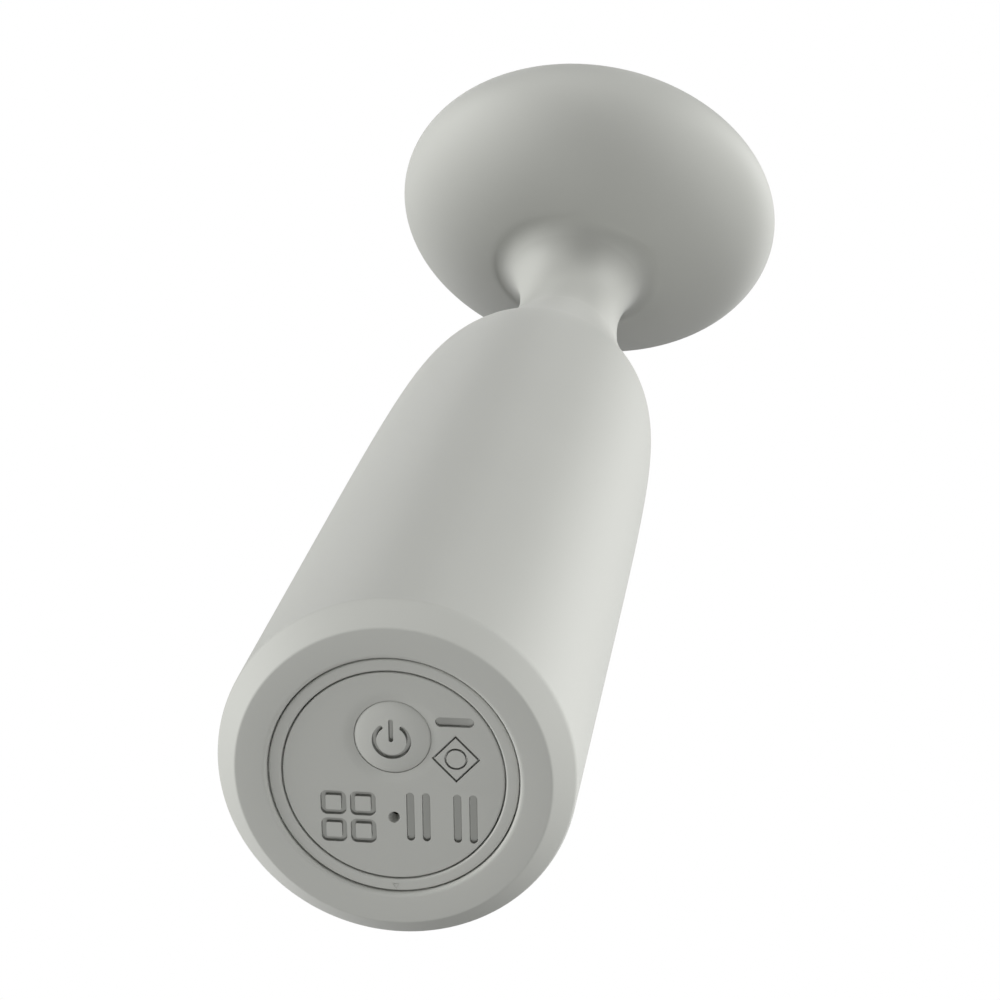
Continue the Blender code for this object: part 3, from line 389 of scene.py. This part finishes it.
class Nodes:
    """A material's node tree with short calls to add and join nodes."""

    def __init__(self, name):
        self.material = bpy.data.materials.new(name)
        self.material.use_nodes = True
        self.tree = self.material.node_tree
        self.shader = self.tree.nodes["Principled BSDF"]
        self.space = self.add("TexCoord").outputs["Object"]

    def add(self, kind, **inputs):
        node = self.tree.nodes.new("ShaderNode" + kind)
        for key, value in inputs.items():
            self.put(node, key.replace("_", " "), value)
        return node

    def put(self, node, key, value):
        if isinstance(value, bpy.types.NodeSocket):
            self.tree.links.new(value, node.inputs[key])
        else:
            node.inputs[key].default_value = value

    def noise(self, size, detail=2.0, stretch=None):
        """Noise whose blotches are about a size across, in metres."""
        space = self.space
        if stretch:
            space = self.add("Mapping", Vector=space, Scale=stretch).outputs[0]
        return self.add("TexNoise", Vector=space, Scale=0.5 / size, Detail=detail).outputs["Fac"]

    def cells(self, size):
        return self.add("TexVoronoi", Vector=self.space, Scale=1.0 / size).outputs["Distance"]

    def stripes(self, size, axis, wobble=0.0):
        node = self.add("TexWave", Vector=self.space, Scale=0.314 / size, Distortion=wobble)
        node.bands_direction = axis
        return node.outputs["Fac"]

    def span(self, value, low, high):
        """A 0 to 1 value spread over a new range."""
        node = self.add("MapRange", Value=value, To_Min=low, To_Max=high)
        return node.outputs["Result"]

    def blend(self, factor, first, second):
        node = self.tree.nodes.new("ShaderNodeMix")
        node.data_type = "RGBA"
        self.put(node, 0, factor)
        self.put(node, 6, (*first, 1.0) if isinstance(first, tuple) else first)
        self.put(node, 7, (*second, 1.0) if isinstance(second, tuple) else second)
        return node.outputs[2]

    def sum(self, first, second, share=1.0):
        node = self.add("Math")
        node.operation = "MULTIPLY_ADD"
        self.put(node, 0, second)
        self.put(node, 1, share)
        self.put(node, 2, first)
        return node.outputs[0]

    def bump(self, height, depth, strength=1.0, rounding=0.0):
        """Relief of a depth in metres, and edges softened by a rounding radius."""
        node = self.add("Bump", Height=height, Distance=depth, Strength=strength)
        if rounding:
            edge = self.add("Bevel", Radius=rounding)
            edge.samples = 6
            self.put(node, "Normal", edge.outputs[0])
        self.put(self.shader, "Normal", node.outputs[0])

    def finish(self, **inputs):
        for key, value in inputs.items():
            self.put(self.shader, key.replace("_", " "), value)
        return self.material


def shade(colour, share):
    return tuple(channel * share for channel in colour)


def silicone(name, colour, rounding=0.0):
    """Matte silicone: faint mottling, a fine moulded grain and a soft velvet sheen."""
    n = Nodes(name)
    cloud = n.noise(9.0 * MM, 3.0)
    grain = n.noise(0.09 * MM, 3.0)
    body = n.blend(n.span(cloud, 0.2, 0.8), shade(colour, 0.975), shade(colour, 1.02))
    dust = n.blend(n.span(grain, 0.0, 0.25), body, shade(colour, 0.93))
    n.bump(n.sum(grain, n.noise(0.9 * MM), 1.4), 0.006 * MM, 0.5, rounding)
    rough = n.span(n.sum(cloud, grain, 0.6), 0.50, 0.66)
    return n.finish(Base_Color=dust, Roughness=rough, Specular_IOR_Level=0.32, IOR=1.43,
                    Sheen_Weight=0.12, Sheen_Roughness=0.45)


def moulded(name, colour, rough=0.45, texture=0.15):
    """Injection-moulded plastic with a spark-eroded texture and slight flow marks."""
    n = Nodes(name)
    flow = n.noise(6.0 * MM, 2.0, (1.0, 1.0, 0.25))
    pits = n.cells(texture * MM)
    tone = n.blend(n.span(flow, 0.1, 0.9), shade(colour, 0.93), shade(colour, 1.05))
    n.bump(n.sum(pits, n.noise(texture * MM), 0.6), 0.008 * MM, 0.4)
    return n.finish(Base_Color=tone, Roughness=n.span(pits, rough - 0.06, rough + 0.1),
                    Specular_IOR_Level=0.45)


def metal(name, colour, rough, axis=(1.0, 1.0, 14.0)):
    """Metal with fine drawn or turned streaks, faint stains and tiny scratches."""
    n = Nodes(name)
    streak = n.noise(0.12 * MM, 3.0, axis)
    stain = n.noise(3.0 * MM, 3.0)
    tone = n.blend(n.span(stain, 0.2, 0.8), shade(colour, 0.86), colour)
    tone = n.blend(n.span(streak, 0.0, 0.35), tone, shade(colour, 0.72))
    n.bump(streak, 0.004 * MM, 0.35)
    wear = n.span(n.sum(streak, stain, 0.5), rough, rough + 0.25)
    return n.finish(Base_Color=tone, Metallic=1.0, Roughness=wear)


def lamination(name, colour):
    """Stacked steel sheets seen on edge, lacquered dark."""
    n = Nodes(name)
    sheets = n.stripes(0.35 * MM, "X", 0.3)
    grain = n.noise(0.2 * MM, 3.0)
    tone = n.blend(n.span(sheets, 0.0, 0.7), shade(colour, 0.6), shade(colour, 1.6))
    n.bump(n.sum(sheets, grain, 0.4), 0.02 * MM, 0.5)
    return n.finish(Base_Color=tone, Metallic=0.7, Roughness=n.span(grain, 0.38, 0.62))


def sintered(name, colour):
    """Heavy sintered alloy: fine grains with open pores."""
    n = Nodes(name)
    grain, pores = n.noise(0.12 * MM, 4.0), n.cells(0.3 * MM)
    tone = n.blend(n.span(grain, 0.0, 1.0), shade(colour, 0.7), shade(colour, 1.2))
    n.bump(n.sum(grain, pores, 0.8), 0.015 * MM, 0.6)
    return n.finish(Base_Color=tone, Metallic=1.0, Roughness=n.span(pores, 0.36, 0.58))


def shrink_wrap(name, colour):
    """Glossy heat-shrunk film with soft creases drawn along the cell."""
    n = Nodes(name)
    creases = n.noise(1.8 * MM, 2.0, (1.0, 1.0, 0.12))
    speck = n.noise(0.15 * MM)
    tone = n.blend(n.span(creases, 0.2, 0.8), shade(colour, 0.85), shade(colour, 1.12))
    n.bump(n.sum(creases, speck, 0.1), 0.05 * MM, 0.5)
    return n.finish(Base_Color=tone, Roughness=n.span(speck, 0.22, 0.36), Coat_Weight=0.4, Coat_Roughness=0.12)


def foam(name, colour):
    """Closed-cell foam: a skin of small open bubbles."""
    n = Nodes(name)
    bubbles = n.cells(0.45 * MM)
    fine = n.noise(0.15 * MM, 3.0)
    tone = n.blend(n.span(bubbles, 0.0, 1.0), shade(colour, 0.45), shade(colour, 1.35))
    n.bump(n.sum(bubbles, fine, 0.3), 0.12 * MM, 0.8)
    return n.finish(Base_Color=tone, Roughness=0.93, Sheen_Weight=0.2)


def solder_mask(name, colour):
    """Glass-fibre board: the weave shows faintly through glossy green lacquer."""
    n = Nodes(name)
    weave = n.sum(n.stripes(0.5 * MM, "X", 0.6), n.stripes(0.5 * MM, "Y", 0.6), 1.0)
    haze = n.noise(2.5 * MM, 3.0)
    tone = n.blend(n.span(weave, 0.0, 0.6), shade(colour, 0.8), shade(colour, 1.25))
    tone = n.blend(n.span(haze, 0.0, 0.4), tone, shade(colour, 0.6))
    n.bump(weave, 0.01 * MM, 0.4)
    return n.finish(Base_Color=tone, Roughness=n.span(haze, 0.28, 0.42), Coat_Weight=0.3)


def insulation(name, colour):
    """Flexible wire insulation with faint draw lines."""
    n = Nodes(name)
    draw = n.noise(0.25 * MM, 2.0, (1.0, 1.0, 0.1))
    tone = n.blend(n.span(draw, 0.2, 0.8), shade(colour, 0.8), shade(colour, 1.25))
    n.bump(draw, 0.01 * MM, 0.4)
    return n.finish(Base_Color=tone, Roughness=n.span(draw, 0.38, 0.52), Specular_IOR_Level=0.4)


def frosted(name, colour):
    """Milky translucent plastic."""
    n = Nodes(name)
    cloud = n.noise(0.8 * MM, 3.0)
    tone = n.blend(n.span(cloud, 0.2, 0.8), shade(colour, 0.9), colour)
    n.bump(cloud, 0.01 * MM, 0.3)
    return n.finish(Base_Color=tone, Roughness=n.span(cloud, 0.2, 0.34), Subsurface_Weight=0.25,
                    Subsurface_Scale=0.4 * MM)


def dress_cad_nodes():
    """Give every carried-over CAD node the material of its record slot."""
    looks = {
        "silicone": silicone("cad_silicone", SKIN_COLOUR),
        "cap_abs": moulded("cad_cap_abs", (0.52, 0.52, 0.49)),
        "housing_abs": moulded("cad_housing_abs", (0.78, 0.77, 0.73), 0.5, 0.25),
        "black_plastic": moulded("cad_black_plastic", (0.022, 0.022, 0.024), 0.4, 0.2),
        "board": solder_mask("cad_board", (0.02, 0.16, 0.06)),
        "steel": metal("cad_steel", (0.62, 0.62, 0.64), 0.22),
        "brass": metal("cad_brass", (0.76, 0.56, 0.26), 0.2),
        "nickel": metal("cad_nickel", (0.70, 0.69, 0.65), 0.16, (14.0, 1.0, 1.0)),
        "cell_wrap": shrink_wrap("cad_cell_wrap", (0.03, 0.14, 0.42)),
        "foam": foam("cad_foam", (0.06, 0.06, 0.062)),
        "red_lead": insulation("cad_red_lead", (0.50, 0.02, 0.015)),
        "black_lead": insulation("cad_black_lead", (0.02, 0.02, 0.02)),
        "rubber": moulded("cad_rubber", (0.02, 0.02, 0.02), 0.7, 0.1),
        "lamp": frosted("cad_lamp", (0.90, 0.90, 0.86)),
        "tungsten": sintered("cad_tungsten", (0.40, 0.39, 0.38)),
        "magnet": lamination("cad_magnet", (0.12, 0.12, 0.13)),
    }
    for part in frame["record"]["subparts"]:
        mesh = frame["nodes"][part["node"]].data
        mesh.materials.clear()
        mesh.materials.append(looks[part["material_slot"]])


# Skin


def skin_outline():
    """Radius and height of the skin from the foot's ring to the head's flattened ball."""
    foot = rounded([
        (FOOT_HOLE_RADIUS, CHAMFER_HEIGHT),
        (FOOT_HOLE_RADIUS, 0.0, 0.55 * MM),
        (FOOT_RADIUS, 0.0, 0.18 * MM),
        (WALL_RADIUS, CHAMFER_HEIGHT, 0.45 * MM),
        (WALL_RADIUS, WALL_TOP),
    ])
    shoulder = bezier((WALL_RADIUS, WALL_TOP), *SHOULDER_PULLS, INFLECTION, 70)
    neck = bezier(INFLECTION, *NECK_PULLS, WAIST, 90)
    top = HEAD_CENTRE - HEAD_HALF_THICKNESS * math.sqrt(1.0 - (FLARE_RADIUS / HEAD_RADIUS) ** 2)
    up, back = FLARE_PULLS
    flare = bezier(WAIST, (WAIST[0], WAIST[1] + up), (FLARE_RADIUS - back, top), (FLARE_RADIUS, top), 60)
    head = ball(HEAD_RADIUS, HEAD_HALF_THICKNESS, FLARE_RADIUS, 90)
    return np.vstack([foot, shoulder, neck, flare, head])


def ball(radius, half, start_radius, count):
    """Outline of a flattened ball from its underside, where it has a start radius, to its top."""
    turns = np.linspace(math.asin(start_radius / radius), math.pi, count)[1:]
    outline = np.stack([radius * np.sin(turns), HEAD_CENTRE - half * np.cos(turns)], axis=1)
    outline[-1, 0] = 0.0
    return outline


def split_outline(outline):
    """The skin's outline below and above the seam in the neck, each with a point on the seam."""
    above = int(np.argmax(outline[:, 1] > SEAM))
    radius = np.interp(SEAM, outline[above - 1 : above + 1, 1], outline[above - 1 : above + 1, 0])
    seam = [[radius, SEAM]]
    return np.vstack([outline[:above], seam]), np.vstack([seam, outline[above:]])


def inner_wall(outline, low, high, count):
    """The skin's inner face between two heights, from the top down."""
    heights = np.linspace(high, low, count)
    order = np.argsort(outline[:, 1])
    radii = np.interp(heights, outline[order, 1], outline[order, 0]) - SKIN_THICKNESS
    return np.stack([radii, heights], axis=1)


def make_skin():
    """Two closed shells that meet in the neck."""
    outline = skin_outline()
    lower, upper = split_outline(outline)
    material = silicone("silicone_skin", SKIN_COLOUR)
    side = outline[(outline[:, 1] > CHAMFER_HEIGHT) & (outline[:, 1] < FLARE_TOP)]
    handle = np.vstack([lower, inner_wall(side, HANDLE_WALL_FOOT, SEAM - SEAM_TUCK, 40)])
    handle_skin = piece("skin_handle", lathe(handle, SIDES, True), material, sharp=SKIN_SHARP_EDGE)
    inner_radius, inner_half = HEAD_RADIUS - COVER_THICKNESS, HEAD_HALF_THICKNESS - COVER_THICKNESS
    inside = ball(inner_radius, inner_half, HEAD_HOLLOW_START, 40)
    bore = inner_wall(side, SEAM + SEAM_TUCK, HEAD_BORE_TOP, 12)
    head = np.vstack([upper, inside[::-1], [HEAD_MOUTH], bore])
    head_skin = piece("skin_head", lathe(head, SIDES, True), material, sharp=SKIN_SHARP_EDGE)
    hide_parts("handle_sleeve", "neck_sleeve")
    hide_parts("head_cover")
    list(bend_span(*LOWER_BEND))
    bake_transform(handle_skin)
    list(bend_span(*UPPER_BEND))
    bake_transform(head_skin)


def bend_span(low, high):
    """Where a bend starts and ends, measured along the direction of the centre line at its end."""
    end = spine_point(high)
    turn = float(spine(high)[2])
    along = Vector((0.0, -math.sin(turn), math.cos(turn)))
    return end - along * (high - low), end


# Foot


def make_end_cap():
    """Cap with a soft-edged rim and its small index mark, a floor with posts, and a skirt."""
    inner, outer = CAP_RING
    hollow, skirt = CAP_SKIRT
    floor, ceiling = CAP_FLOOR
    low, high = GASKET_GROOVE
    edge = CAP_EDGE
    outline = rounded([
        (0.0, floor), (inner, floor), (inner, CAP_RIM, CAP_SOFTNESS), (outer, CAP_RIM, CAP_SOFTNESS),
        (outer, CAP_SKIRT_FOOT), (skirt, CAP_SKIRT_FOOT, edge), (skirt, low, edge), (outer, low),
        (outer, high), (skirt, high, edge), (skirt, CAP_SKIRT_TOP, edge),
        (hollow, CAP_SKIRT_TOP, edge), (hollow, ceiling), (0.0, ceiling),
    ])
    # Colour a shade darker than the skin's: painted shade on the foot's face
    material = silicone("cap_ring_painted_shade", shade(SKIN_COLOUR, 0.99))
    cap = piece("cap_body", lathe(outline, CAP_SIDES), material, CAP_PLACE)
    past = 0.5 * MM
    for x, y in post_places():
        carve(cap, at(rod(POST_RADIUS, ceiling - past, BOARD_FOOT - 0.3 * MM, 32), x, y), "UNION")
    for x, y in post_places():
        carve(cap, at(rod(POST_BORE, ceiling + 0.2 * MM, BOARD_FOOT + MM, 24), x, y))
    carve(cap, at(rod(BUTTON_SHAFT_HOLE, floor - past, ceiling + past, 32), 0.0, BUTTON_Y))
    carve(cap, at(rod(SOCKET_HOLE, floor - past, ceiling + past, 32), 0.0, PORT_Y))
    index = arc((0.0, INDEX_RING), INDEX_SIZE, 90.0, 330.0, 2)
    carve(cap, ribbon(index, INDEX_LINE, -MM, CAP_RIM + INDEX_DEPTH, True))
    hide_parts("end_cap")
    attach(cap, "handle")


def post_places():
    turns = [math.radians(a) for a in POST_ANGLES]
    return [(POST_RING * math.cos(a), POST_RING * math.sin(a)) for a in turns]


def make_pad():
    """Soft disc with a dip round the button's hole, the pin-hole and plain recessed marks."""
    disc = rounded([
        (0.0, CAP_RECESS), (PAD_RADIUS, CAP_RECESS, PAD_SOFTNESS), (PAD_RADIUS, PAD_BACK), (0.0, PAD_BACK),
    ])
    # Darker colour of the pad: painted shade on the foot's face
    material = silicone("silicone_pad", shade(SKIN_COLOUR, PAD_PAINTED_SHADE), EDGE_ROUNDING)
    # The faces left by the mark cuts get this darker colour: painted shade in the recesses
    sunk = silicone("silicone_recess_painted_shade", shade(SKIN_COLOUR, RECESS_PAINTED_SHADE))
    pad = piece("foot_pad", lathe(disc, CAP_SIDES), material, CAP_PLACE)
    carve(pad, at(dish(), 0.0, BUTTON_Y))
    carve(pad, at(rod(BUTTON_HOLE, -MM, PAD_BACK + MM, 96), 0.0, BUTTON_Y))
    funnel = [(0.0, -MM), (PORT_MOUTH, -MM), (PORT_MOUTH, CAP_RECESS), (PORT_RADIUS, PORT_TAPER_END)]
    funnel += [(PORT_RADIUS, PAD_BACK + MM), (0.0, PAD_BACK + MM)]
    carve(pad, at(lathe(funnel, 32), 0.0, PORT_Y))
    for mark in plain_marks():
        carve(pad, mark, lining=sunk)
    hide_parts("base_pad")
    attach(pad, "handle")


def dish():
    """Cutter for the shallow dip in the pad round the button."""
    radii = np.linspace(DISH_RADIUS, DOME_RADIUS, 16)
    share = (DISH_RADIUS - radii) / (DISH_RADIUS - DOME_RADIUS)
    dip = list(zip(radii, CAP_RECESS + DISH_DEPTH * share**1.7))
    return lathe([(0.0, -MM), (DISH_RADIUS, -MM)] + dip + [(0.0, CAP_RECESS + DISH_DEPTH)], 96)


def plain_marks():
    """Cutters for the recessed marks: a bar, a diamond round a circle, four slots and four squares."""
    low, high = -MM, CAP_RECESS + MARK_DEPTH
    yield ribbon(BAR, BAR_LINE, low, high)
    (x, y), (across, along) = MOTIF_MIDDLE, MOTIF_REACH
    diamond = [(x, y + along), (x + across, y), (x, y - along), (x - across, y)]
    for outline in (diamond, arc(MOTIF_MIDDLE, MOTIF_CIRCLE, 0.0, 352.5, 47)):
        yield ribbon(outline, MOTIF_LINE, low, high, True)
    for x in SLOTS_X:
        yield ribbon([(x, y) for y in SLOT_ENDS], SLOT_LINE, low, high)
    for x in SQUARES_X:
        for y in SQUARES_Y:
            square = round_box((x, y), SQUARE_HALF, SQUARE_CORNER)
            yield ribbon(square, SQUARE_LINE, low, high, True)


def make_button():
    """Domed button that rises straight from the pad, with the standby symbol sunk into its crest."""
    rim = CAP_RECESS + DISH_DEPTH
    turns = np.linspace(0.0, DOME_TURN, 30)
    drops = (1.0 - np.cos(turns)) / (1.0 - math.cos(DOME_TURN))
    radii = DOME_RADIUS * np.sin(turns) / math.sin(DOME_TURN)
    dome = list(zip(radii, BUTTON_CREST + (rim - BUTTON_CREST) * drops))
    dome += [(BUTTON_RADIUS, rim + 0.1 * MM), (BUTTON_RADIUS, BUTTON_BACK), (0.0, BUTTON_BACK)]
    material = silicone("silicone_button", shade(SKIN_COLOUR, 1.01), EDGE_ROUNDING)
    # The faces left by the symbol's cut get this darker colour: painted shade in the recess
    sunk = silicone("silicone_symbol_painted_shade", shade(SKIN_COLOUR, RECESS_PAINTED_SHADE))
    place = CAP_PLACE @ Matrix.Translation((0.0, BUTTON_Y, 0.0))
    button = piece("button_dome", lathe(dome, 96), material, place, DOME_SHARP_EDGE)
    low, high = -MM, BUTTON_CREST + SYMBOL_DEPTH
    for stroke in (arc(SYMBOL_MIDDLE, SYMBOL_RADIUS, *SYMBOL_ARC, 48), SYMBOL_BAR):
        carve(button, ribbon(stroke, SYMBOL_LINE, low, high), lining=sunk)
    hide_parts("power_button")
    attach(button, "button")


# Stage


def make_camera():
    """Long lens below the foot, looking up along the wand."""
    data = bpy.data.cameras.new("camera")
    data.lens = CAMERA_LENS
    data.sensor_width = 36.0
    data.clip_start, data.clip_end = 0.01, 20.0
    camera = bpy.data.objects.new("camera", data)
    camera.location = CAMERA_PLACE
    camera.rotation_euler = [math.radians(angle) for angle in CAMERA_TURN]
    bpy.context.scene.collection.objects.link(camera)
    bpy.context.scene.camera = camera


def make_lights():
    """Broad suns that wrap the object in soft light."""
    for name, (azimuth, elevation, strength) in SUNS.items():
        data = bpy.data.lights.new(name, "SUN")
        data.angle = SUN_ANGLE
        data.energy = strength
        light = bpy.data.objects.new(name, data)
        turn, lift = math.radians(azimuth), math.radians(elevation)
        flat = math.cos(lift)
        towards = Vector((flat * math.cos(turn), flat * math.sin(turn), math.sin(lift)))
        light.rotation_mode = "QUATERNION"
        light.rotation_quaternion = towards.to_track_quat("Z", "Y")
        bpy.context.scene.collection.objects.link(light)


def make_world():
    """White backdrop that only the camera sees."""
    world = bpy.data.worlds.new("studio")
    world.use_nodes = True
    tree = world.node_tree
    tree.nodes.clear()
    output = tree.nodes.new("ShaderNodeOutputWorld")
    path = tree.nodes.new("ShaderNodeLightPath")
    backdrop = tree.nodes.new("ShaderNodeBackground")
    backdrop.inputs["Color"].default_value = (1.0, 1.0, 1.0, 1.0)
    tree.links.new(path.outputs["Is Camera Ray"], backdrop.inputs["Strength"])
    tree.links.new(backdrop.outputs[0], output.inputs["Surface"])
    bpy.context.scene.world = world


def make_floor():
    """Pale floor that shows only from above, so the foot can be seen from below."""
    bm = bmesh.new()
    bmesh.ops.create_circle(bm, cap_ends=True, radius=FLOOR_RADIUS, segments=96)
    mesh = bpy.data.meshes.new("floor")
    bm.to_mesh(mesh)
    bm.free()
    floor = bpy.data.objects.new("floor", mesh)
    bpy.context.scene.collection.objects.link(floor)
    floor.location.z = -FLOOR_DROP
    floor.visible_diffuse = False
    floor.visible_glossy = False
    floor.visible_shadow = False
    n = Nodes("floor_paper")
    tone = n.blend(n.noise(0.02, 3.0), (0.84, 0.84, 0.83), (0.87, 0.87, 0.86))
    n.bump(n.noise(0.6 * MM, 3.0), 0.02 * MM, 0.3)
    n.finish(Base_Color=tone, Roughness=0.8)
    clear = n.add("BsdfTransparent")
    mix = n.add("MixShader")
    n.put(mix, 0, n.add("NewGeometry").outputs["Backfacing"])
    n.put(mix, 1, n.shader.outputs[0])
    n.put(mix, 2, clear.outputs[0])
    n.put(n.tree.nodes["Material Output"], "Surface", mix.outputs[0])
    floor.data.materials.append(n.material)
    floor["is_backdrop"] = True


def main():
    dress_cad_nodes()
    make_skin()
    make_end_cap()
    make_pad()
    make_button()
    make_camera()
    make_lights()
    make_world()
    make_floor()
    bpy.context.scene.view_settings.view_transform = "Standard"
    boxes = {"cad": cad_box, "visual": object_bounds()}
    {name: [list(corner) for corner in box] for name, box in boxes.items()}


main()
